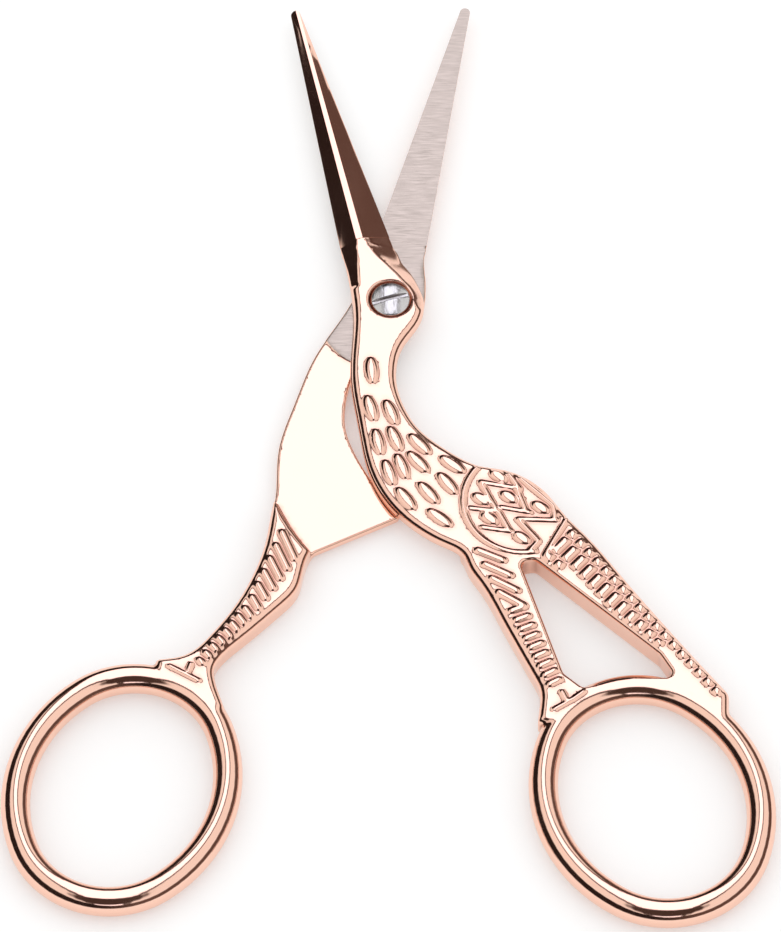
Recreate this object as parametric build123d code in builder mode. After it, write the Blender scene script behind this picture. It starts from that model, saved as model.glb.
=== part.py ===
from build123d import *
from math import asin, atan2, cos, degrees, dist, radians, sin, tan
import os

os.makedirs("parts", exist_ok=True)

# Stork embroidery scissors, millimetres and degrees. The pair lies flat with its points towards +Y and
# its decorated face up. The origin is on the pivot axis, in the plane that the pair rests on.
# Each half is drawn in its own closed frame, with the blade along +Y, and that frame is turned
# about the pivot by half of the opening.

# Opening at rest
front_turn = 15.5
rear_turn = -12.15

# Thickness
plate_thickness = 1.5
relief_height = 0.2
relief_root = 0.3
running_gap = 0.04
fan_relief = 0.1
edge_round = 0.8
window_round = 0.3
window_corner = 0.6
cut_overrun = 2.0

# Blades
blade_length = 36.2
blade_root = 7.6
blade_overlap = 1.0
spine_reach = 3.1
edge_reach = 2.05
tip_width = 1.0
tip_thickness = 0.35
spine_land = 0.25
edge_land = 0.12

# Head, neck and body
belly_reach = 7.5
body_length = 30.0
facet_reach = 3.2
facet_lead = 0.3
spine_facet_slope = 37.0
edge_facet_slope = 37.0
ride_radius = 7.6
shoulder_gap = 0.4

# Legs, tail and finger rings
front_ring_offset = 9.6
front_ring_reach = 62.7
rear_ring_offset = 14.2
rear_ring_reach = 60.9
front_ring_half_length = 13.2
front_ring_half_width = 10.5
rear_ring_half_length = 13.1
rear_ring_half_width = 10.3
ring_bar = 3.0
ring_lean = 5.0
tail_run = 4.2
tail_round = 1.0

# Screw
screw_head = 3.9
screw_head_height = 0.75
screw_dome = 0.35
screw_shank = 2.4
slot_width = 0.45
slot_depth = 0.4
slot_turn = 16.0
head_clearance = 0.2
shank_clearance = 0.05
bearing_gap = 0.03

# Relief marks
feather_length = 3.0
feather_width = 1.0
rib_width = 0.6
line_width = 0.36
wing_radius = 5.75
dot_length = 1.9
dot_width = 1.0
cell_size = 0.85
cell_gap = 0.3
cell_pitch = 1.3
dot_lean = -50.0

# Levels
rest_level = relief_height
mating_level = rest_level + plate_thickness
top_level = mating_level + plate_thickness
head_seat = top_level + relief_height - screw_head_height
half_gap = running_gap / 2
handle_thickness = 2 * plate_thickness
front_leg_length = front_ring_reach - front_ring_half_length - body_length
rear_leg_length = rear_ring_reach - rear_ring_half_length - body_length

# A ring's end arcs, as a share of its half width
ring_end_share = 0.865
# Where a blade's ridge starts and ends, as shares of its width from the spine
root_ridge_shares = (0.32, 0.45)
tip_ridge_shares = (0.6, 0.9)
# A blade's lands at its tip, as a share of those at its root
tip_land_share = 0.5

# Outline shares. Body points follow belly_reach and body_length, leg points follow the ring's place.
belly_shares = [
    (-0.41, 0.255),
    (-0.46, 0.095),
    (-0.54, -0.02),
    (-0.83, -0.245),
    (-0.94, -0.44),
    (-0.995, -0.615),
    (-0.94, -0.715),
    (-0.78, -0.82),
    (-0.57, -0.9),
    (-0.37, -0.955),
]
nape_shares = [
    (0.27, 0.255),
    (0.32, 0.17),
    (0.385, 0.118),
    (0.433, 0.05),
    (0.447, -0.008),
    (0.39, -0.065),
    (0.27, -0.11),
    (0.105, -0.147),
    (-0.057, -0.188),
    (-0.187, -0.248),
    (-0.264, -0.323),
    (-0.256, -0.417),
    (-0.172, -0.503),
    (0.0, -0.577),
    (0.187, -0.637),
    (0.453, -0.7),
    (0.72, -0.733),
    (0.96, -0.777),
    (1.2, -0.86),
    (1.36, -0.967),
]
# Where the head's flat top breaks into the facets that run on from the blade's bevels
spine_crease_shares = [(-0.352, 0.076), (-0.172, 0.27)]
edge_crease_shares = [
    (-0.065, 0.27),
    (-0.02, 0.189),
    (0.09, 0.136),
    (0.215, 0.07),
    (0.279, -0.016),
    (0.313, -0.073),
]
front_leg_left_shares = [
    (-0.115, 0.03),
    (-0.094, 0.113),
    (-0.042, 0.205),
    (0.057, 0.45),
    (0.125, 0.64),
    (0.193, 0.82),
    (0.214, 0.923),
    (0.167, 1.005),
    (0.094, 1.1),
]
tail_outer_shares = [
    (1.19, 0.08),
    (1.435, 0.39),
    (1.68, 0.7),
    (1.93, 1.0),
]
window_shares = [
    (0.44, 0.16),
    (0.512, 0.86),
    (0.66, 0.97),
    (1.2, 0.98),
    (1.62, 1.04),
    (1.53, 0.88),
    (0.6, 0.17),
]
rear_plate_left_shares = [
    (-0.913, -0.748),
    (-0.873, -0.822),
    (-0.86, -0.899),
    (-0.841, -0.983),
]
rear_leg_left_shares = [
    (-0.447, 0.085),
    (-0.472, 0.237),
    (-0.514, 0.384),
    (-0.577, 0.53),
    (-0.662, 0.678),
    (-0.74, 0.785),
    (-0.817, 0.842),
    (-0.894, 0.87),
    (-0.986, 0.898),
]
rear_leg_right_shares = [
    (-0.123, 0.073),
    (-0.127, 0.17),
    (-0.137, 0.282),
    (-0.204, 0.39),
    (-0.313, 0.525),
    (-0.422, 0.655),
    (-0.54, 0.803),
    (-0.567, 0.882),
    (-0.539, 0.963),
    (-0.492, 1.036),
    (-0.437, 1.113),
]
# The plate's lower edge, where the front half is cut to half thickness, and the rear half's shoulder
step_start_shares = (-0.173, -0.993)
step_end_shares = (0.813, -0.8)
shoulder_shares = [(-0.95, -0.8), (-0.52, -0.94), (-0.1, -1.035)]

# Relief places, as shares of belly_reach and body_length, with each feather's lean
feather_shares = [
    (-0.545, -0.256, -101),
    (-0.717, -0.398, -91),
    (-0.477, -0.432, -85),
    (-0.763, -0.532, -93),
    (-0.533, -0.535, -84),
    (-0.751, -0.657, -88),
    (-0.564, -0.645, -86),
    (-0.239, -0.578, -64),
    (-0.335, -0.643, -65),
    (-0.645, -0.77, -71),
    (-0.331, -0.769, -68),
    (-0.045, -0.751, -69),
    (0.097, -0.684, -53),
    (-0.291, -0.873, -55),
]
wing_centre_shares = (0.82, -0.893)
# Wing marks as shares of wing_radius about the wing's centre
dot_shares = [
    (-0.23, 0.65),
    (-0.65, 0.28),
    (-0.17, 0.19),
    (0.3, -0.16),
    (-0.61, -0.14),
    (-0.18, -0.67),
]
wing_line_shares = [
    ((-0.57, 0.62), (0.0, 0.33)),
    ((-0.57, 0.62), (-0.46, 0.03)),
    ((0.0, 0.33), (0.03, -0.14)),
    ((-0.37, 0.03), (0.1, -0.21)),
    ((-0.05, 0.66), (0.05, 0.3)),
    ((-0.9, 0.16), (-0.44, -0.03)),
    ((-0.43, -0.06), (-0.35, -0.48)),
    ((-0.8, -0.27), (-0.32, -0.49)),
    ((0.51, -0.49), (-0.15, -0.28)),
    ((-0.15, -0.28), (0.08, -0.81)),
    ((0.08, -0.81), (-0.12, -0.95)),
    ((0.12, 0.51), (0.53, -0.18)),
    ((0.53, -0.18), (0.48, -0.42)),
    ((0.68, -0.5), (0.1, -1.12)),
]
wing_arc_shares = [(-0.52, 0.94), (-1.0, 0.0), (0.0, -1.0)]
# Rows of ribs down each leg: count, first and last middle, first and last length and lean
front_rib_rows = [
    (4, (0.16, 0.09), (0.227, 0.37), (0.355, 0.37), (-40, -48)),
    (9, (0.254, 0.435), (0.384, 0.905), (0.2, 0.178), (6, 13)),
]
rear_rib_rows = [
    (6, (-0.273, 0.03), (-0.4, 0.435), (0.275, 0.14), (-56, -51)),
    (8, (-0.433, 0.505), (-0.669, 0.875), (0.118, 0.075), (-45, -32)),
]
front_foot_shares = [
    ((0.29, 1.063), (0.51, 1.03)),
    ((0.51, 1.03), (0.65, 1.0)),
    ((0.43, 0.97), (0.443, 1.02)),
]
rear_foot_shares = [
    ((-0.88, 0.94), (-0.65, 1.0)),
    ((-0.733, 0.9), (-0.737, 0.945)),
]
cell_row_shares = [(1.05, 0.082), (1.98, 1.18)]
# Where each leg and the tail run into their ring, by angle on the ring
front_foot_angles = (125, 90, 20)
rear_foot_angles = (95, 70, 44)

# Each ring's centre, half length, half width and lean, in its half's closed frame
front_ring = (
    (front_ring_offset, -front_ring_reach),
    front_ring_half_length,
    front_ring_half_width,
    ring_lean,
)
rear_ring = (
    (-rear_ring_offset, -rear_ring_reach),
    rear_ring_half_length,
    rear_ring_half_width,
    -ring_lean,
)

front_frame = Plane(
    origin=(0, 0, mating_level),
    x_dir=(cos(radians(front_turn)), sin(radians(front_turn)), 0),
    z_dir=(0, 0, 1),
)
rear_frame = Plane(
    origin=(0, 0, mating_level),
    x_dir=(cos(radians(rear_turn)), sin(radians(rear_turn)), 0),
    z_dir=(0, 0, 1),
)


def body_point(share):
    """A point of the body, from shares of its belly's reach and its length."""
    return (share[0] * belly_reach, share[1] * body_length)


def front_leg_point(share):
    """A point of the front leg or tail, from shares of the ring's offset and the leg's length."""
    return (share[0] * front_ring_offset, -body_length - share[1] * front_leg_length)


def rear_leg_point(share):
    """A point of the rear leg, from shares of the ring's offset and the leg's length."""
    return (share[0] * rear_ring_offset, -body_length - share[1] * rear_leg_length)


def ring_point(side_ring, angle):
    """A point on a ring's centreline, by its angle in the ring's own leaning frame."""
    centre, half_length, half_width, lean = side_ring
    along = half_width * cos(radians(angle))
    up = half_length * sin(radians(angle))
    return (
        centre[0] + along * cos(radians(lean)) - up * sin(radians(lean)),
        centre[1] + along * sin(radians(lean)) + up * cos(radians(lean)),
    )


def turn_of(start, end):
    """The direction from one point to another, in degrees."""
    return degrees(atan2(end[1] - start[1], end[0] - start[0]))


def between(first, last, step, count):
    """The step-th of count values spread evenly from first to last."""
    return first + (last - first) * step / (count - 1)


def blade_profile(frame, side, spine, edge, ridge_shares, thickness, land_scale):
    """A blade's cross-section: spine bevel, ridge and cutting bevel over a flat inner face."""
    width = edge - spine
    ridge_start = spine + ridge_shares[0] * width
    ridge_end = spine + ridge_shares[1] * width
    with BuildSketch(frame) as profile:
        with BuildLine():
            Polyline(
                (spine, side * half_gap),
                (spine, side * spine_land * land_scale),
                (ridge_start, side * thickness),
                (ridge_end, side * thickness),
                (edge, side * edge_land * land_scale),
                (edge, side * half_gap),
                close=True,
            )
        make_face()
    return profile.sketch


def blade(frame, side):
    """A blade, flat face on the mating plane; side is 1 for the front half, -1 for the rear."""
    spine = -spine_reach if side > 0 else edge_reach
    edge = edge_reach if side > 0 else -spine_reach
    tip_spine = -tip_width / 2 * side
    start = blade_root - blade_overlap
    slope = (blade_length - start) / (blade_length - blade_root)
    wide_spine = tip_spine + (spine - tip_spine) * slope
    wide_edge = -tip_spine + (edge + tip_spine) * slope
    root_plane = Plane(frame.from_local_coords((0, start, 0)), frame.x_dir, -frame.y_dir)
    tip_plane = Plane(frame.from_local_coords((0, blade_length, 0)), frame.x_dir, -frame.y_dir)
    root = blade_profile(
        root_plane, side, wide_spine, wide_edge, root_ridge_shares, plate_thickness, 1
    )
    tip = blade_profile(
        tip_plane, side, tip_spine, -tip_spine, tip_ridge_shares, tip_thickness, tip_land_share
    )
    left = min(wide_spine, wide_edge)
    right = max(wide_spine, wide_edge)
    shoulder = blade_length - tip_width / 2
    with BuildPart() as made:
        loft(sections=[root, tip], ruled=True)
        with BuildSketch(frame):
            with BuildLine():
                side_line = Line((right, start), (tip_width / 2, shoulder))
                tip_arc = ThreePointArc(side_line @ 1, (0, blade_length), (-tip_width / 2, shoulder))
                other_line = Line(tip_arc @ 1, (left, start))
                Line(other_line @ 1, (right, start))
            make_face()
        extrude(amount=plate_thickness, both=True, mode=Mode.INTERSECT)
    return made.part


def facet(crease_shares, slope):
    """What is cut away on the left of a crease in the head's top, down to a sloping facet."""
    drop_share = tan(radians(slope))
    with BuildPart() as made:
        with BuildLine(front_frame.offset(plate_thickness)) as crease:
            Spline(*[body_point(share) for share in crease_shares])
        start = crease.line @ 0
        along = crease.line % 0
        with BuildSketch(Plane(start, front_frame.z_dir.cross(along), along)):
            with BuildLine():
                Polyline(
                    (-facet_lead, facet_lead * drop_share),
                    (facet_reach, facet_lead * drop_share),
                    (facet_reach, -facet_reach * drop_share),
                    close=True,
                )
            make_face()
        sweep(path=crease.line)
    return made.part


def ring(frame, side_ring):
    """A finger ring: a round bar bent to an oval of four arcs."""
    centre, half_length, half_width, lean = side_ring
    end_radius = half_width * ring_end_share
    rise = half_length - end_radius
    side_radius = (rise**2 + half_width**2 - end_radius**2) / (2 * (half_width - end_radius))
    reach_share = side_radius / (side_radius - end_radius)
    join = ((side_radius - half_width) * (reach_share - 1), rise * reach_share)
    ring_plane = Plane(frame.from_local_coords((centre[0], centre[1], 0)), frame.x_dir, frame.z_dir)
    ring_plane = ring_plane.rotated((0, 0, lean))
    with BuildPart() as made:
        with BuildLine(ring_plane) as path:
            top = ThreePointArc(join, (0, half_length), (-join[0], join[1]))
            left = ThreePointArc(top @ 1, (-half_width, 0), (-join[0], -join[1]))
            bottom = ThreePointArc(left @ 1, (0, -half_length), (join[0], -join[1]))
            ThreePointArc(bottom @ 1, (half_width, 0), join)
        with BuildSketch(Plane(path.line @ 0, ring_plane.z_dir, path.line % 0)):
            Circle(ring_bar / 2)
        sweep(path=path.line)
    return made.part


def front_outline():
    """The front half's outer edge, from the head round the belly, leg, ring, tail and nape."""
    left_points = [body_point(share) for share in belly_shares]
    left_points += [front_leg_point(share) for share in front_leg_left_shares]
    right_points = [body_point(share) for share in nape_shares]
    tail_points = [front_leg_point(share) for share in tail_outer_shares]
    leg_foot = ring_point(front_ring, front_foot_angles[0])
    ring_top = ring_point(front_ring, front_foot_angles[1])
    tail_foot = ring_point(front_ring, front_foot_angles[2])
    with BuildLine() as outline:
        Spline(*left_points)
        Line(left_points[-1], leg_foot)
        ThreePointArc(leg_foot, ring_top, tail_foot)
        back = Spline(*right_points, *tail_points)
        tail_end = Line(back @ 1, back @ 1 + (back % 1) * tail_run)
        Line(tail_end @ 1, tail_foot)
        fillet(outline.vertices().sort_by_distance(tail_end @ 1)[0], tail_round)
        Line(right_points[0], left_points[0])
    return outline.line


def window_outline():
    """The three-sided opening between the leg, the tail and the ring."""
    with BuildLine() as outline:
        corners = [front_leg_point(share) for share in window_shares]
        FilletPolyline(*corners, radius=window_corner, close=True)
    return outline.line


def rear_outline():
    """The rear half's outer edge: the plate that lies under the front body, and the leg."""
    left_points = [body_point(share) for share in belly_shares[:-3] + rear_plate_left_shares]
    left_points += [rear_leg_point(share) for share in rear_leg_left_shares]
    right_points = [body_point(share) for share in nape_shares[:-3]]
    leg_points = [rear_leg_point(share) for share in rear_leg_right_shares]
    leg_toe = ring_point(rear_ring, rear_foot_angles[0])
    ring_top = ring_point(rear_ring, rear_foot_angles[1])
    leg_heel = ring_point(rear_ring, rear_foot_angles[2])
    with BuildLine() as outline:
        Spline(*left_points)
        Line(left_points[-1], leg_toe)
        ThreePointArc(leg_toe, ring_top, leg_heel)
        Line(leg_heel, leg_points[-1])
        Spline(*reversed(leg_points), body_point(step_start_shares))
        Line(body_point(step_start_shares), body_point(step_end_shares))
        Line(body_point(step_end_shares), right_points[-1])
        Spline(*reversed(right_points))
        Line(right_points[0], left_points[0])
    return outline.line


def rim(face):
    """A plate face's outer edges, but for the one inside the ring and the one nearest the points."""
    edges = face.outer_wire().edges()
    ring_edge = edges.filter_by(GeomType.CIRCLE).sort_by(SortBy.LENGTH)[-1:]
    return edges - ring_edge - edges.sort_by(Axis.Y)[-1:]


def front_plate_area():
    """Everything above the line where the front half drops to half thickness."""
    start = Vector(*body_point(step_start_shares))
    end = Vector(*body_point(step_end_shares))
    run = (end - start).normalized()
    shift = Vector(run.Y, -run.X) * shoulder_gap
    start = start + shift - run * body_length
    end = end + shift + run * body_length
    rise = Vector(-run.Y, run.X) * (blade_length + body_length * 2)
    with BuildLine() as outline:
        corners = (start, end, end + rise, start + rise)
        Polyline(*[(corner.X, corner.Y) for corner in corners], close=True)
    return outline.line


def rear_plate_area():
    """Everything above the rear half's shoulder, which follows the front half's belly."""
    points = [body_point(share) for share in shoulder_shares]
    far_right = (body_length, points[-1][1])
    far_top = (body_length, blade_length + cut_overrun)
    far_left = (-body_length, blade_length + cut_overrun)
    with BuildLine() as outline:
        ThreePointArc(*points)
        Polyline(points[-1], far_right, far_top, far_left, (-body_length, points[0][1]), points[0])
    return outline.line


def draw_bars(segments, width):
    """Straight raised lines with round ends, one for each pair of points."""
    for start, end in segments:
        with Locations(((start[0] + end[0]) / 2, (start[1] + end[1]) / 2)):
            SlotCenterToCenter(dist(start, end), width, rotation=turn_of(start, end))


def draw_ribs(rows, leg_point, ring_offset):
    """The crosswise ribs of a leg, in rows that grow shorter towards the ring."""
    for count, first, last, lengths, leans in rows:
        for step in range(count):
            x_share = between(first[0], last[0], step, count)
            y_share = between(first[1], last[1], step, count)
            length = between(lengths[0], lengths[1], step, count) * ring_offset
            with Locations(leg_point((x_share, y_share))):
                SlotOverall(length, rib_width, rotation=between(leans[0], leans[1], step, count))


def draw_feathers():
    """The body's feathers."""
    for x_share, y_share, lean in feather_shares:
        with Locations(body_point((x_share, y_share))):
            Ellipse(feather_length / 2, feather_width / 2, rotation=lean)


def draw_wing():
    """The folded wing: its round edge, crossing lines and six spots."""
    centre = body_point(wing_centre_shares)

    def place(share):
        return (centre[0] + share[0] * wing_radius, centre[1] + share[1] * wing_radius)

    with BuildLine() as edge:
        ThreePointArc(*[place(share) for share in wing_arc_shares])
    trace(edge.line, line_width)
    draw_bars([(place(start), place(end)) for start, end in wing_line_shares], line_width)
    for share in dot_shares:
        with Locations(place(share)):
            Ellipse(dot_length / 2, dot_width / 2, rotation=dot_lean)


def draw_tail_cells():
    """Rows of small squares and long cells across the tail, which narrows towards the ring."""
    outer_start = Vector(*front_leg_point(cell_row_shares[0]))
    outer_end = Vector(*front_leg_point(cell_row_shares[1]))
    inner_start = Vector(*front_leg_point(window_shares[-1]))
    inner_end = Vector(*front_leg_point(window_shares[-2]))
    inner_run = (inner_end - inner_start).normalized()
    across = Vector(inner_run.Y, -inner_run.X)
    tilt = turn_of((0, 0), (across.X, across.Y))
    count = int((outer_end - outer_start).length / cell_pitch) + 1
    for step in range(count):
        outer = outer_start + (outer_end - outer_start) * (step / (count - 1))
        long_start = cell_size / 2 + cell_gap
        rim = (inner_start - outer).dot(across) - window_round - cell_gap
        square_place = rim - cell_size / 2
        long_end = square_place - cell_size / 2 - cell_gap
        with Locations((outer.X, outer.Y)):
            Rectangle(cell_size, cell_size, rotation=tilt)
        if long_end - long_start > 2 * cell_size:
            square = outer + across * square_place
            with Locations((square.X, square.Y)):
                Rectangle(cell_size, cell_size, rotation=tilt)
        else:
            long_end = min(rim, long_start + 2 * cell_size)
        if long_end - long_start > cell_size / 2:
            middle = outer + across * ((long_start + long_end) / 2)
            with Locations((middle.X, middle.Y)):
                Rectangle(long_end - long_start, cell_size, rotation=tilt)


def draw_front_top():
    """Every mark on the decorated face of the front half."""
    draw_feathers()
    draw_wing()
    draw_tail_cells()
    draw_ribs(front_rib_rows, front_leg_point, front_ring_offset)
    foot = [(front_leg_point(start), front_leg_point(end)) for start, end in front_foot_shares]
    draw_bars(foot, line_width)


def draw_rear_foot():
    """The bird's foot at the end of the rear leg."""
    foot = [(rear_leg_point(start), rear_leg_point(end)) for start, end in rear_foot_shares]
    draw_bars(foot, line_width)


# Front half, decorated side: head, neck, winged body, tail and leg
with BuildPart() as front_half:
    with BuildSketch(front_frame):
        make_face(front_outline().edges())
        make_face(window_outline().edges(), mode=Mode.SUBTRACT)
    extrude(amount=plate_thickness)
    fillet(rim(front_half.faces().sort_by(Axis.Z)[-1]), edge_round)
    top_face = front_half.faces().sort_by(Axis.Z)[-1]
    fillet(top_face.inner_wires().edges(), window_round)
    add(facet(spine_crease_shares, spine_facet_slope), mode=Mode.SUBTRACT)
    add(facet(edge_crease_shares, edge_facet_slope), mode=Mode.SUBTRACT)

    # Underside of the body, tail and leg, beyond the step that clears the rear plate
    with BuildSketch(front_frame) as underside:
        make_face(front_outline().edges())
        make_face(window_outline().edges(), mode=Mode.SUBTRACT)
        make_face(front_plate_area().edges(), mode=Mode.SUBTRACT)
    extrude(amount=-plate_thickness)
    fillet(rim(front_half.faces().sort_by(Axis.Z)[0]), edge_round)
    under_face = front_half.faces().sort_by(Axis.Z)[0]
    fillet(under_face.inner_wires().edges(), window_round)
    with BuildSketch(front_frame.offset(half_gap)):
        make_face(front_plate_area().edges())
    extrude(amount=-half_gap, mode=Mode.SUBTRACT)

    add(blade(front_frame, 1))
    add(ring(front_frame, front_ring))

    # Raised marks on both faces
    with BuildSketch(front_frame.offset(plate_thickness - relief_root)):
        draw_front_top()
    extrude(amount=relief_root + relief_height)
    with BuildSketch(front_frame.offset(relief_root - plate_thickness)):
        draw_tail_cells()
        draw_ribs(front_rib_rows, front_leg_point, front_ring_offset)
    extrude(amount=-relief_root - relief_height)

    # Screw hole with its counterbore
    with Locations((0, 0, head_seat)):
        Cylinder(
            screw_head / 2 + head_clearance,
            cut_overrun,
            align=(Align.CENTER, Align.CENTER, Align.MIN),
            mode=Mode.SUBTRACT,
        )
    with Locations((0, 0, mating_level)):
        Cylinder(screw_shank / 2 + shank_clearance, handle_thickness, mode=Mode.SUBTRACT)
front_half.part.label = "front_half"
export_step(front_half.part, "parts/front_half.step")

# Rear half, resting side: blade, plate under the front body, and leg
with BuildPart() as rear_half:
    with BuildSketch(rear_frame):
        make_face(rear_outline().edges())
    extrude(amount=-plate_thickness)
    fillet(rim(rear_half.faces().sort_by(Axis.Z)[0]), edge_round)

    # The leg stands a plate thicker, beyond the shoulder that meets the front half's belly
    with BuildSketch(rear_frame):
        make_face(rear_outline().edges())
        make_face(rear_plate_area().edges(), mode=Mode.SUBTRACT)
    extrude(amount=plate_thickness)
    top_edges = rear_half.faces().sort_by(Axis.Z)[-1].edges()
    edge_under_ring = top_edges.filter_by(GeomType.CIRCLE).sort_by(Axis.Y)[:1]
    fillet(top_edges - edge_under_ring, edge_round)

    # The ground disc round the pivot stands just proud of the plated plate
    with BuildSketch(rear_frame.offset(-half_gap)):
        make_face(rear_plate_area().edges())
    extrude(amount=half_gap, mode=Mode.SUBTRACT)
    with BuildSketch(rear_frame.offset(-half_gap - fan_relief)):
        make_face(rear_plate_area().edges())
        Circle(ride_radius, mode=Mode.SUBTRACT)
    extrude(amount=fan_relief + half_gap, mode=Mode.SUBTRACT)

    add(blade(rear_frame, -1))
    add(ring(rear_frame, rear_ring))

    # Raised marks on both faces
    with BuildSketch(rear_frame.offset(plate_thickness - relief_root)):
        draw_ribs(rear_rib_rows, rear_leg_point, rear_ring_offset)
        draw_rear_foot()
    extrude(amount=relief_root + relief_height)
    with BuildSketch(rear_frame.offset(relief_root - plate_thickness)):
        draw_feathers()
        draw_ribs(rear_rib_rows, rear_leg_point, rear_ring_offset)
    extrude(amount=-relief_root - relief_height)

    # Tapped hole for the screw's end
    with Locations((0, 0, mating_level)):
        Cylinder(screw_shank / 2, handle_thickness, mode=Mode.SUBTRACT)
rear_half.part.label = "rear_half"
export_step(rear_half.part, "parts/rear_half.step")

# Pivot screw: domed slotted head in the counterbore, shank through the front half into the rear
with BuildPart() as pivot_screw:
    head_radius = screw_head / 2
    dome_radius = (head_radius**2 + screw_dome**2) / (2 * screw_dome)
    dome_half_angle = degrees(asin(head_radius / dome_radius))
    head_top = head_seat + bearing_gap + screw_head_height
    with BuildSketch(Plane.XZ):
        with BuildLine():
            dome_centre = (0, head_top - dome_radius)
            dome = CenterArc(dome_centre, dome_radius, 90 - dome_half_angle, dome_half_angle)
            Polyline(
                dome @ 1,
                (0, rest_level),
                (screw_shank / 2, rest_level),
                (screw_shank / 2, head_seat + bearing_gap),
                (head_radius, head_seat + bearing_gap),
                dome @ 0,
            )
        make_face()
    revolve(axis=Axis.Z)
    with BuildSketch(Plane.XY.offset(head_top)):
        Rectangle(screw_head + cut_overrun, slot_width, rotation=slot_turn)
    extrude(amount=-slot_depth, mode=Mode.SUBTRACT)
pivot_screw.part.label = "pivot_screw"
export_step(pivot_screw.part, "parts/pivot_screw.step")
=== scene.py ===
from math import cos, radians, sin

import bmesh
import bpy
import numpy as np
import openvdb
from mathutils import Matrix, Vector


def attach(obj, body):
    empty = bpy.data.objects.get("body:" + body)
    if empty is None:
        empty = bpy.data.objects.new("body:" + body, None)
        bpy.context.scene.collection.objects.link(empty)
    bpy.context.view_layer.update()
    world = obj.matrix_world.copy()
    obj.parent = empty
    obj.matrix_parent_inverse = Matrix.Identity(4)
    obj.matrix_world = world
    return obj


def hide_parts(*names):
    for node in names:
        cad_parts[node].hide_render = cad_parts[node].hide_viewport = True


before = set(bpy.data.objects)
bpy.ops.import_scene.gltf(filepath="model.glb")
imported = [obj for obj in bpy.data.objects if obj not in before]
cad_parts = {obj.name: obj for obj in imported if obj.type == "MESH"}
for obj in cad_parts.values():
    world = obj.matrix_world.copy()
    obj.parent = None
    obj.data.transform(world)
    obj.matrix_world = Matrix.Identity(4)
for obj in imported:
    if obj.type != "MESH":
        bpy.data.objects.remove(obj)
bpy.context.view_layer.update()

# Lengths in metres, angles in degrees. The frame is the CAD's: points towards +Y, decorated face up.
# Each half is turned about the pivot from its closed place.
half_turns = {"front": 15.5, "rear": -12.15}
mating_level = 0.0017

# Soft surfaces: voxel sizes, and how often each distance field is smoothed
casting_voxel = 0.00008
casting_passes = 6
screw_voxel = 0.00005
screw_passes = 2
field_reach_voxels = 4.0
field_margin_voxels = 2
flat_merging = 0.03
# A groove, where the materials paint shade, is where the surface lies this deep under a smoother copy
# of itself.
cavity_passes = 10
cavity_depth = 0.00004
# The rounding of a casting fades out between these distances from the pivot, along the blade.
crisp_start = 0.0045
crisp_end = 0.0064

# Blades: the body goes on for a few voxels inside the blade, lying just under its surface
blade_cut = 0.00775
blade_shrink = 0.00001
shrink_lead_voxels = 4
cut_overlap_voxels = 3
blade_edge_round = 0.00004
same_point = 1e-7
flat_angle = 1.5
crease_angle = 12
# Ground steel is this near the mating level. Its faces are looked for a little farther
# from that level, and round the pivot a little past the ground disc's edge.
ground_depth = 0.00006
ground_search = 3 * ground_depth
disc_search_radius = 0.00836
ground_facing = 0.9

# The front blade's heel, by distance from the pivot along the blade: a face that falls
# from the crest of the head to its outline, and meets the blade's own surface at both ends
heel_along = (0.0035, 0.0043, 0.005, 0.0056, 0.0066, 0.0073)
heel_crest = (0.001, 0.0006, 0.00018, -0.00012, -0.00045, -0.00053)
heel_crest_heights = (0.00315, 0.0032, 0.0032, 0.0032, 0.0032, 0.003)
heel_outline = (0.00287, 0.00268, 0.00255, 0.0024, 0.00208, 0.0019)
heel_edge_heights = (0.00185, 0.0018, 0.0018, 0.0018, 0.0018, 0.00172)

# Camera: the photograph's view
view_elevation = 58.5
view_target = (0.0, -0.0188, mating_level)
view_distance = 3.0
view_clip = (0.05, 20)
picture_height_px = 932
metres_per_px = 0.0001
sensor = 36.0

# Materials: colours as linear red, green and blue, and texture scales per metre
white = (1.0, 1.0, 1.0, 1.0)
noise_range = (0.3, 0.7)
plating_colour = (0.95, 0.60, 0.47, 1.0)
# painted shade for the plating's grooves
plating_painted_groove_shade = (0.42, 0.16, 0.10, 1.0)
plating_roughness = (0.07, 0.13)
smudge_scale = 220
ripple_scale = 900
ripple_strength = 0.05
ripple_depth = 0.0001
steel_colour = (0.48, 0.41, 0.36, 1.0)
steel_scratch_colour = (0.57, 0.485, 0.425, 1.0)
steel_colour_range = (0.35, 0.65)
steel_roughness = (0.42, 0.3)
scratch_scale = 9000
scratch_stretch = (0.06, 1, 1)
scratch_lean = 4
scratch_strength = 0.35
scratch_depth = 0.00004
screw_colour = (0.62, 0.60, 0.59, 1.0)
# painted shade for the screw's slot and rim
screw_painted_groove_shade = (0.16, 0.13, 0.12, 1.0)
screw_roughness = (0.12, 0.3)
scuff_scale = 1200
scuff_stretch = (1, 0.3, 1)
scuff_lean = 30
scuff_strength = 0.6
scuff_depth = 0.0001

# Floor
floor_reach = 4
floor_colour = (0.8, 0.8, 0.8, 1.0)
floor_roughness = 0.9
floor_lift = 0.26

# Room, as polished metal reflects it. Places are directions on the unit sphere: the softbox
# and its dark frame reach so far to either side, and the dark camera covers a round patch.
softbox_colour = (1.75, 1.76, 1.95, 1.0)
frame_shade = (0.06, 0.04, 0.035, 1.0)
wall_shade = (0.02, 0.013, 0.012, 1.0)
right_shade = (0.12, 0.08, 0.07, 1.0)
softbox_side = (0.17, 0.2)
frame_side = (0.26, 0.3)
camera_reach = (0.89, 0.93)
wall_foot = (0.03, 0.08)
wall_top = (0.44, 0.5)
left_rise = 0.16
left_rise_side = (-0.6, 0.0)
right_shade_side = (-0.2, 0.5)


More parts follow.
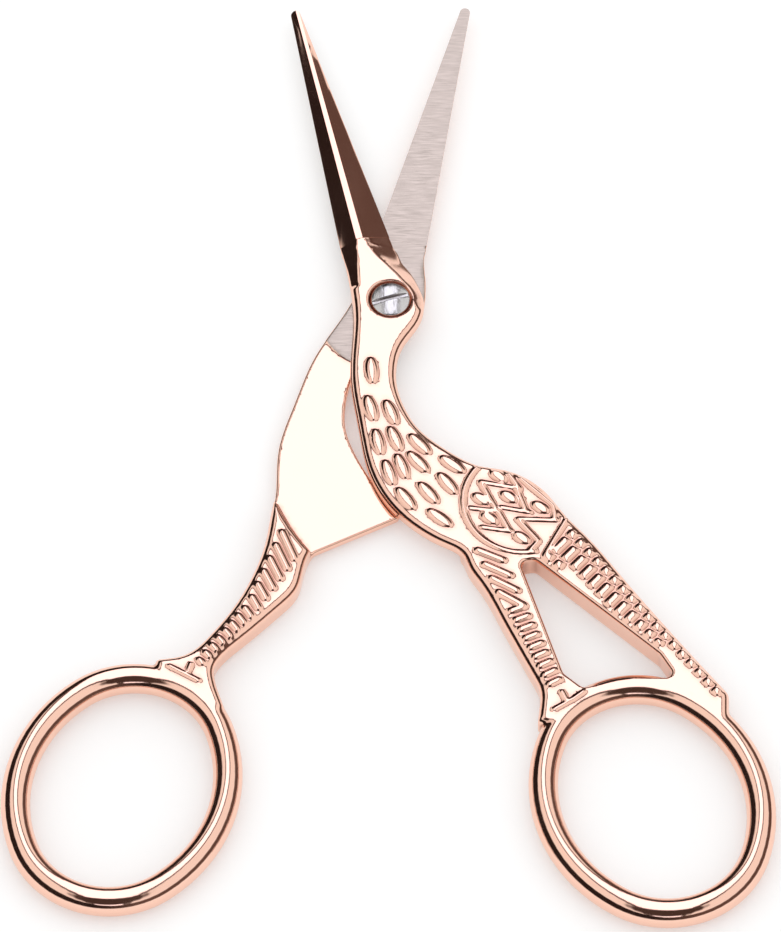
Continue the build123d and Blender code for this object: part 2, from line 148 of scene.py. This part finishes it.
def turned(points, degrees):
    """Points or a point turned about the pivot axis by an angle; rows are x, y and z."""
    angle = radians(degrees)
    points = np.asarray(points, dtype=float)
    x = points[..., 0] * cos(angle) - points[..., 1] * sin(angle)
    y = points[..., 0] * sin(angle) + points[..., 1] * cos(angle)
    return np.stack([x, y, points[..., 2]], axis=-1)


# Materials


def new_material(name):
    """A node material: itself, its nodes, its links and its shader."""
    material = bpy.data.materials.new(name)
    material.use_nodes = True
    tree = material.node_tree
    return material, tree.nodes, tree.links, tree.nodes["Principled BSDF"]


def add_noise(nodes, links, scale, detail, stretch=(1, 1, 1), lean=0.0):
    """A noise texture in the piece's own coordinates, stretched along its axes."""
    coordinates = nodes.new("ShaderNodeTexCoord")
    mapping = nodes.new("ShaderNodeMapping")
    mapping.inputs["Scale"].default_value = stretch
    mapping.inputs["Rotation"].default_value = (0, 0, radians(lean))
    noise = nodes.new("ShaderNodeTexNoise")
    noise.inputs["Scale"].default_value = scale
    noise.inputs["Detail"].default_value = detail
    links.new(coordinates.outputs["Object"], mapping.inputs["Vector"])
    links.new(mapping.outputs["Vector"], noise.inputs["Vector"])
    return noise.outputs["Fac"]


def add_range(nodes, links, source, low, high, start, end):
    """Maps a value from low..high to start..end."""
    node = nodes.new("ShaderNodeMapRange")
    node.inputs["From Min"].default_value = low
    node.inputs["From Max"].default_value = high
    node.inputs["To Min"].default_value = start
    node.inputs["To Max"].default_value = end
    links.new(source, node.inputs["Value"])
    return node.outputs["Result"]


def add_math(nodes, links, operation, first, second=None):
    """A sum or comparison of node outputs; the second may be a plain number."""
    node = nodes.new("ShaderNodeMath")
    node.operation = operation
    links.new(first, node.inputs[0])
    if isinstance(second, bpy.types.NodeSocket):
        links.new(second, node.inputs[1])
    elif second is not None:
        node.inputs[1].default_value = second
    return node.outputs["Value"]


def add_bump(nodes, links, height, strength, distance):
    """A normal that follows a height."""
    bump = nodes.new("ShaderNodeBump")
    bump.inputs["Strength"].default_value = strength
    bump.inputs["Distance"].default_value = distance
    links.new(height, bump.inputs["Height"])
    return bump.outputs["Normal"]


def add_mix(nodes, links, factor, first, second):
    """Mixes two colours, each of them given as numbers or as another node's output."""
    mix = nodes.new("ShaderNodeMix")
    mix.data_type = "RGBA"
    for name, colour in (("A", first), ("B", second)):
        if isinstance(colour, bpy.types.NodeSocket):
            links.new(colour, mix.inputs[name])
        else:
            mix.inputs[name].default_value = colour
    links.new(factor, mix.inputs["Factor"])
    return mix.outputs["Result"]


def paint_shade_in_grooves(nodes, links, shader, colour, groove_shade_paint):
    """Gives metal its colour, with shade painted in where the mesh is marked as a groove."""
    shader.inputs["Metallic"].default_value = 1.0
    cavity = nodes.new("ShaderNodeAttribute")
    cavity.attribute_name = "cavity"
    # painted shade: the colour darkens towards the shade colour as the groove deepens
    tint = add_mix(nodes, links, cavity.outputs["Fac"], colour, groove_shade_paint)
    links.new(tint, shader.inputs["Base Color"])


def plate(nodes, links, shader):
    """Polished rose plating with painted shade in its grooves, and faint unevenness from the casting.
    """
    paint_shade_in_grooves(nodes, links, shader, plating_colour, plating_painted_groove_shade)
    smudge = add_noise(nodes, links, smudge_scale, 3)
    roughness = add_range(nodes, links, smudge, *noise_range, *plating_roughness)
    links.new(roughness, shader.inputs["Roughness"])
    ripple = add_noise(nodes, links, ripple_scale, 1)
    normal = add_bump(nodes, links, ripple, ripple_strength, ripple_depth)
    links.new(normal, shader.inputs["Normal"])


def plating_material():
    """Rose plating alone."""
    material, nodes, links, shader = new_material("rose_plating")
    plate(nodes, links, shader)
    return material


def ground_steel_material(side):
    """Steel ground flat at the mating level, with fine scratches across; plated just off it."""
    material, nodes, links, shader = new_material(side + "_ground_steel")
    shader.inputs["Metallic"].default_value = 1.0
    lean = -half_turns[side] - scratch_lean
    scratch = add_noise(nodes, links, scratch_scale, 4, scratch_stretch, lean)
    colour = add_range(nodes, links, scratch, *steel_colour_range, 0.0, 1.0)
    tint = add_mix(nodes, links, colour, steel_colour, steel_scratch_colour)
    links.new(tint, shader.inputs["Base Color"])
    roughness = add_range(nodes, links, scratch, *noise_range, *steel_roughness)
    links.new(roughness, shader.inputs["Roughness"])
    normal = add_bump(nodes, links, scratch, scratch_strength, scratch_depth)
    links.new(normal, shader.inputs["Normal"])
    plated = nodes.new("ShaderNodeBsdfPrincipled")
    plate(nodes, links, plated)
    place = nodes.new("ShaderNodeTexCoord")
    split = nodes.new("ShaderNodeSeparateXYZ")
    links.new(place.outputs["Object"], split.inputs[0])
    off_level = add_math(nodes, links, "SUBTRACT", split.outputs["Z"], mating_level)
    off_level = add_math(nodes, links, "ABSOLUTE", off_level)
    ground = add_range(nodes, links, off_level, ground_depth, ground_depth * 1.2, 1.0, 0.0)
    both = nodes.new("ShaderNodeMixShader")
    links.new(ground, both.inputs[0])
    links.new(plated.outputs[0], both.inputs[1])
    links.new(shader.outputs[0], both.inputs[2])
    links.new(both.outputs[0], nodes["Material Output"].inputs["Surface"])
    return material


def screw_material():
    """Turned steel with painted shade in its slot and round its rim, and scuffs from the screwdriver.
    """
    material, nodes, links, shader = new_material("screw_steel")
    paint_shade_in_grooves(nodes, links, shader, screw_colour, screw_painted_groove_shade)
    scuff = add_noise(nodes, links, scuff_scale, 4, scuff_stretch, scuff_lean)
    roughness = add_range(nodes, links, scuff, *noise_range, *screw_roughness)
    links.new(roughness, shader.inputs["Roughness"])
    normal = add_bump(nodes, links, scuff, scuff_strength, scuff_depth)
    links.new(normal, shader.inputs["Normal"])
    return material


# Soft surfaces, made from the CAD solids through a distance field


def node_mesh(node):
    """A CAD node's points and triangles as arrays."""
    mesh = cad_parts[node].data
    mesh.calc_loop_triangles()
    points = np.empty(len(mesh.vertices) * 3, np.float32)
    mesh.vertices.foreach_get("co", points)
    triangles = np.empty(len(mesh.loop_triangles) * 3, np.int32)
    mesh.loop_triangles.foreach_get("vertices", triangles)
    return points.reshape(-1, 3), triangles.reshape(-1, 3).astype(np.uint32)


def distance_field(node, voxel):
    """Distances from a CAD node's surface on a grid, the grid's lowest corner, and the farthest one."""
    points, triangles = node_mesh(node)
    grid = openvdb.FloatGrid.createLevelSetFromPolygons(
        points,
        triangles=triangles,
        transform=openvdb.createLinearTransform(voxelSize=voxel),
        halfWidth=field_reach_voxels,
    )
    low, high = (np.array(corner) for corner in grid.evalActiveVoxelBoundingBox())
    low = low - field_margin_voxels
    field = np.full(high + 1 + field_margin_voxels - low, grid.background, np.float32)
    grid.copyToArray(field, ijk=tuple(int(value) for value in low))
    return field, low, grid.background


def smooth(field, passes):
    """Rounds a distance field's shape off, one small step along each axis in each pass."""
    for _ in range(passes):
        for axis in range(3):
            rows = np.moveaxis(field, axis, 0)
            rows[1:-1] = 0.5 * rows[1:-1] + 0.25 * (rows[:-2] + rows[2:])
    return field


def sample(field, places):
    """The field at fractional grid places, from the eight grid points around each."""
    # The last cell's lower corner is one short of the last grid point.
    places = np.clip(places, 0, np.array(field.shape) - 1.001)
    base = places.astype(int)
    part = places - base
    total = np.zeros(len(places))
    for corner in range(8):
        step = np.array([corner & 1, corner >> 1 & 1, corner >> 2])
        weight = np.prod(np.where(step, part, 1 - part), axis=1)
        index = base + step
        total += weight * field[index[:, 0], index[:, 1], index[:, 2]]
    return total


def blade_grid(low, shape, voxel, side):
    """How far the columns of a field lie across and along a half's blade, from the pivot."""
    x = (low[0] + np.arange(shape[0]))[:, None] * voxel
    y = (low[1] + np.arange(shape[1]))[None, :] * voxel
    angle = radians(half_turns[side])
    across = x * cos(angle) + y * sin(angle)
    along = y * cos(angle) - x * sin(angle)
    return across, along


def fill_heel(field, low, voxel, across, along):
    """Carries the front blade's edge on into the outline of the head."""
    z = (low[2] + np.arange(field.shape[2])) * voxel
    crest, crest_height, outline, edge_height = (
        np.interp(along, heel_along, values)
        for values in (heel_crest, heel_crest_heights, heel_outline, heel_edge_heights)
    )
    slope = (crest_height - edge_height) / (outline - crest)
    top = edge_height + slope * (outline - across)
    past_ends = np.maximum(heel_along[0] - along, along - heel_along[-1])
    past_sides = np.maximum(np.maximum(across - outline, crest - across), past_ends)
    above = (z[None, None, :] - top[..., None]) / np.hypot(1, slope)[..., None]
    heel = np.maximum(np.maximum(above, mating_level - z), past_sides[..., None])
    return np.minimum(field, heel).astype(np.float32)


def fade_rounding(rounded, field, along):
    """Turns a rounded field back into the plain one towards the blade."""
    crisp = np.clip((along - crisp_start) / (crisp_end - crisp_start), 0, 1)[..., None]
    rounded *= 1 - crisp
    rounded += field * crisp


def end_in_blade(field, voxel, along):
    """The field of a body that ends a little way inside its blade."""
    in_blade = along > blade_cut - shrink_lead_voxels * voxel
    shrunk = field + in_blade[..., None] * blade_shrink
    past_end = along - blade_cut - cut_overlap_voxels * voxel
    return np.maximum(shrunk, past_end[..., None]).astype(np.float32)


def soft_mesh(name, node, voxel, passes, side=None):
    """A rounded copy of a CAD node's surface, with smooth normals and its grooves marked for painted
    shade.
    """
    field, low, background = distance_field(node, voxel)
    if side:
        across, along = blade_grid(low, field.shape, voxel, side)
    if side == "front":
        field = fill_heel(field, low, voxel, across, along)
    rounded = smooth(field.copy(), passes)
    if side:
        fade_rounding(rounded, field, along)
    surface = end_in_blade(rounded, voxel, along) if side else rounded

    soft = openvdb.FloatGrid(background)
    soft.copyFromArray(surface, ijk=tuple(int(value) for value in low), tolerance=voxel / 1000)
    soft.transform = openvdb.createLinearTransform(voxelSize=voxel)
    places, corners3, corners4 = soft.convertToPolygons(isovalue=0.0, adaptivity=flat_merging)
    mesh = build_mesh(name, places, corners3, corners4)
    cells = places / voxel - low
    set_normals(mesh, rounded, cells)
    mark_grooves(mesh, rounded, cells)
    return mesh


def build_mesh(name, places, corners3, corners4):
    """A mesh of three- and four-sided faces that face outward."""
    mesh = bpy.data.meshes.new(name)
    loops = np.concatenate([corners3.ravel(), corners4.ravel()]).astype(np.int32)
    sizes = np.concatenate([np.full(len(corners3), 3), np.full(len(corners4), 4)])
    starts = np.concatenate([[0], np.cumsum(sizes)[:-1]]).astype(np.int32)
    mesh.vertices.add(len(places))
    mesh.vertices.foreach_set("co", places.astype(np.float32).ravel())
    mesh.loops.add(len(loops))
    mesh.loops.foreach_set("vertex_index", loops)
    mesh.polygons.add(len(sizes))
    mesh.polygons.foreach_set("loop_start", starts)
    mesh.update(calc_edges=True)
    mesh.validate()
    mesh.shade_smooth()
    return mesh


def set_normals(mesh, field, cells):
    """Gives each point the direction in which the field grows fastest there."""
    steps = np.eye(3)
    normals = np.stack(
        [sample(field, cells + step) - sample(field, cells - step) for step in steps], axis=1
    )
    normals /= np.linalg.norm(normals, axis=1, keepdims=True) + 1e-12
    mesh.normals_split_custom_set_from_vertices(normals.tolist())


def mark_grooves(mesh, field, cells):
    """Marks how deep each point lies in a groove, from 0 to 1, for the materials to paint shade by."""
    smoother = smooth(field.copy(), cavity_passes)
    depth = np.clip(-sample(smoother, cells) / cavity_depth, 0, 1)
    cavity = mesh.attributes.new("cavity", "FLOAT", "POINT")
    cavity.data.foreach_set("value", depth.astype(np.float32))


# Pieces


def blade_mesh(name, node, side):
    """The CAD blade beyond the cut, with its creases kept sharp."""
    shape = bmesh.new()
    shape.from_mesh(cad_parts[node].data)
    bmesh.ops.remove_doubles(shape, verts=shape.verts, dist=same_point)
    along = Vector(turned((0, 1, 0), half_turns[side]))
    bmesh.ops.bisect_plane(
        shape,
        geom=shape.verts[:] + shape.edges[:] + shape.faces[:],
        plane_co=along * blade_cut,
        plane_no=along,
        clear_inner=True,
    )
    bmesh.ops.holes_fill(shape, edges=[edge for edge in shape.edges if edge.is_boundary])
    bmesh.ops.dissolve_limit(
        shape, angle_limit=radians(flat_angle), verts=shape.verts, edges=shape.edges
    )
    mesh = bpy.data.meshes.new(name)
    shape.to_mesh(mesh)
    shape.free()
    return mesh


def mark_ground(mesh, side):
    """Gives the second material to the faces about the level where the halves rub."""
    outward = 1 if side == "rear" else -1
    centres = np.empty(len(mesh.polygons) * 3, np.float32)
    mesh.polygons.foreach_get("center", centres)
    normals = np.empty(len(mesh.polygons) * 3, np.float32)
    mesh.polygons.foreach_get("normal", normals)
    centres = centres.reshape(-1, 3)
    level = np.abs(centres[:, 2] - mating_level) < ground_search
    near = turned(centres, -half_turns[side])[:, 1] > 0
    near |= np.hypot(centres[:, 0], centres[:, 1]) < disc_search_radius
    facing = normals[2::3] * outward > ground_facing
    mesh.polygons.foreach_set("material_index", (level & near & facing).astype(np.int32))


def add_piece(mesh, body, slot, *materials):
    """A visible piece with its materials, riding on a body."""
    piece = bpy.data.objects.new(mesh.name, mesh)
    bpy.context.scene.collection.objects.link(piece)
    for material in materials:
        mesh.materials.append(material)
    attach(piece, body)
    return piece


def add_half(side, plating):
    """One half: its rounded body and its crisp blade."""
    node = side + "_half"
    steel = ground_steel_material(side)
    body = soft_mesh(side + "_body", node, casting_voxel, casting_passes, side)
    mark_ground(body, side)
    body_piece = add_piece(body, side, side + "_plating", plating, steel)
    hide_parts(node)
    blade = blade_mesh(side + "_blade", node, side)
    mark_ground(blade, side)
    blade_piece = add_piece(blade, side, side + "_plating", plating, steel)
    edges = blade_piece.modifiers.new("rounded_edges", "BEVEL")
    edges.width = blade_edge_round
    edges.segments = 2
    edges.limit_method = "ANGLE"
    edges.angle_limit = radians(crease_angle)
    edges.harden_normals = True


def add_screw():
    """The slotted screw, which stays with the rear half."""
    mesh = soft_mesh("slotted_screw", "pivot_screw", screw_voxel, screw_passes)
    piece = add_piece(mesh, "rear", "screw_steel", screw_material())
    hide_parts("pivot_screw")


# Stage


def towards_camera():
    """The direction from the object to the photograph's camera."""
    elevation = radians(view_elevation)
    return Vector((0, -cos(elevation), sin(elevation)))


def add_camera():
    """The photograph's view, from far enough off to be nearly free of perspective."""
    data = bpy.data.cameras.new("camera")
    camera = bpy.data.objects.new("camera", data)
    bpy.context.scene.collection.objects.link(camera)
    back = towards_camera()
    camera.location = Vector(view_target) + back * view_distance
    camera.rotation_mode = "QUATERNION"
    camera.rotation_quaternion = (-back).to_track_quat("-Z", "Y")
    data.sensor_width = sensor
    data.lens = sensor * view_distance / (picture_height_px * metres_per_px)
    data.clip_start, data.clip_end = view_clip
    bpy.context.scene.camera = camera


def add_floor():
    """A plain pale floor under the pair."""
    mesh = bpy.data.meshes.new("floor")
    reach = floor_reach
    corners = [(-reach, -reach, 0), (reach, -reach, 0), (reach, reach, 0), (-reach, reach, 0)]
    mesh.from_pydata(corners, [], [(0, 1, 2, 3)])
    floor = bpy.data.objects.new("floor", mesh)
    bpy.context.scene.collection.objects.link(floor)
    material, nodes, links, shader = new_material("floor")
    shader.inputs["Base Color"].default_value = floor_colour
    shader.inputs["Roughness"].default_value = floor_roughness
    shader.inputs["Specular IOR Level"].default_value = 0.0
    # The floor shows as white paper, also in the metal, under the soft shadow of the pair.
    rays = nodes.new("ShaderNodeLightPath").outputs
    seen = add_math(nodes, links, "MAXIMUM", rays["Is Camera Ray"], rays["Is Glossy Ray"])
    seen = add_math(nodes, links, "MAXIMUM", seen, rays["Is Transmission Ray"])
    lift = add_range(nodes, links, seen, 0.0, 1.0, 0.0, floor_lift)
    shader.inputs["Emission Color"].default_value = white
    links.new(lift, shader.inputs["Emission Strength"])
    mesh.materials.append(material)


def add_ceiling(nodes, links, direction, side):
    """A bright softbox between dark frames on a white ceiling, with the dark camera before it."""
    reach = add_math(nodes, links, "ABSOLUTE", side)
    past_frame = add_range(nodes, links, reach, *frame_side, 0.0, 1.0)
    outer = add_mix(nodes, links, past_frame, frame_shade, white)
    past_softbox = add_range(nodes, links, reach, *softbox_side, 0.0, 1.0)
    ceiling = add_mix(nodes, links, past_softbox, softbox_colour, outer)
    nearness = nodes.new("ShaderNodeVectorMath")
    nearness.operation = "DOT_PRODUCT"
    nearness.inputs[1].default_value = towards_camera()
    links.new(direction, nearness.inputs[0])
    at_camera = add_range(nodes, links, nearness.outputs["Value"], *camera_reach, 0.0, 1.0)
    return add_mix(nodes, links, at_camera, ceiling, frame_shade)


def add_walls(nodes, links, side, height):
    """Dark walls with a white foot, a little lighter on the right."""
    rightness = add_range(nodes, links, side, *right_shade_side, 0.0, 1.0)
    wall = add_mix(nodes, links, rightness, wall_shade, right_shade)
    above_foot = add_range(nodes, links, height, *wall_foot, 0.0, 1.0)
    return add_mix(nodes, links, above_foot, white, wall)


def add_room():
    """A white room whose polished reflections have a bright ceiling and shaded walls."""
    world = bpy.data.worlds.new("room")
    bpy.context.scene.world = world
    world.use_nodes = True
    nodes, links = world.node_tree.nodes, world.node_tree.links
    coordinates = nodes.new("ShaderNodeTexCoord")
    direction = coordinates.outputs["Generated"]
    split = nodes.new("ShaderNodeSeparateXYZ")
    links.new(direction, split.inputs[0])
    side, height = split.outputs["X"], split.outputs["Z"]
    # The walls reach higher on the left.
    rise = add_range(nodes, links, side, *left_rise_side, left_rise, 0.0)
    level = add_math(nodes, links, "SUBTRACT", height, rise)
    above_wall = add_range(nodes, links, level, *wall_top, 0.0, 1.0)
    walls = add_walls(nodes, links, side, height)
    ceiling = add_ceiling(nodes, links, direction, side)
    reflected = add_mix(nodes, links, above_wall, walls, ceiling)
    path = nodes.new("ShaderNodeLightPath")
    seen = add_mix(nodes, links, path.outputs["Is Glossy Ray"], white, reflected)
    links.new(seen, nodes["Background"].inputs["Color"])


plating = plating_material()
add_half("front", plating)
add_half("rear", plating)
add_screw()
add_camera()
add_floor()
add_room()

bpy.context.scene.view_settings.view_transform = "Standard"
